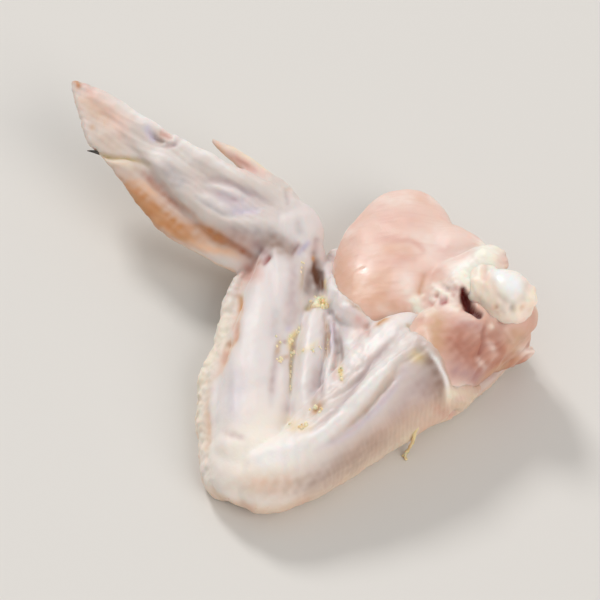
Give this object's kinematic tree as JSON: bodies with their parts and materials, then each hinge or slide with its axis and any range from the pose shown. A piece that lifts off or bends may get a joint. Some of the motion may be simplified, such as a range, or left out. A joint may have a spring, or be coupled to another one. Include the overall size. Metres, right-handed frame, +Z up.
{
  "type": "raw chicken wing",
  "caption": "Whole raw poultry wing cut at the shoulder, folded in a Z and lying on its outer skin, with bare meat and the bone's head at the cut.",
  "frame": {"origin": "on the surface that the wing lies on, under the middle of its box", "axes": "+Z up, away from the surface; +Y from the elbow towards the wing tip, along the longest side of the box; +X towards the cut shoulder"},
  "size_m": [0.1328, 0.1394, 0.0323],
  "materials": {
    "skin": "moist, pale, finely creased skin",
    "meat": "wet raw meat",
    "bone": "wet white cartilage and bone"
  },
  "bodies": {
    "root": {"wing": "skin", "meat": "meat", "humerus": "bone"}
  },
  "joints": []
}
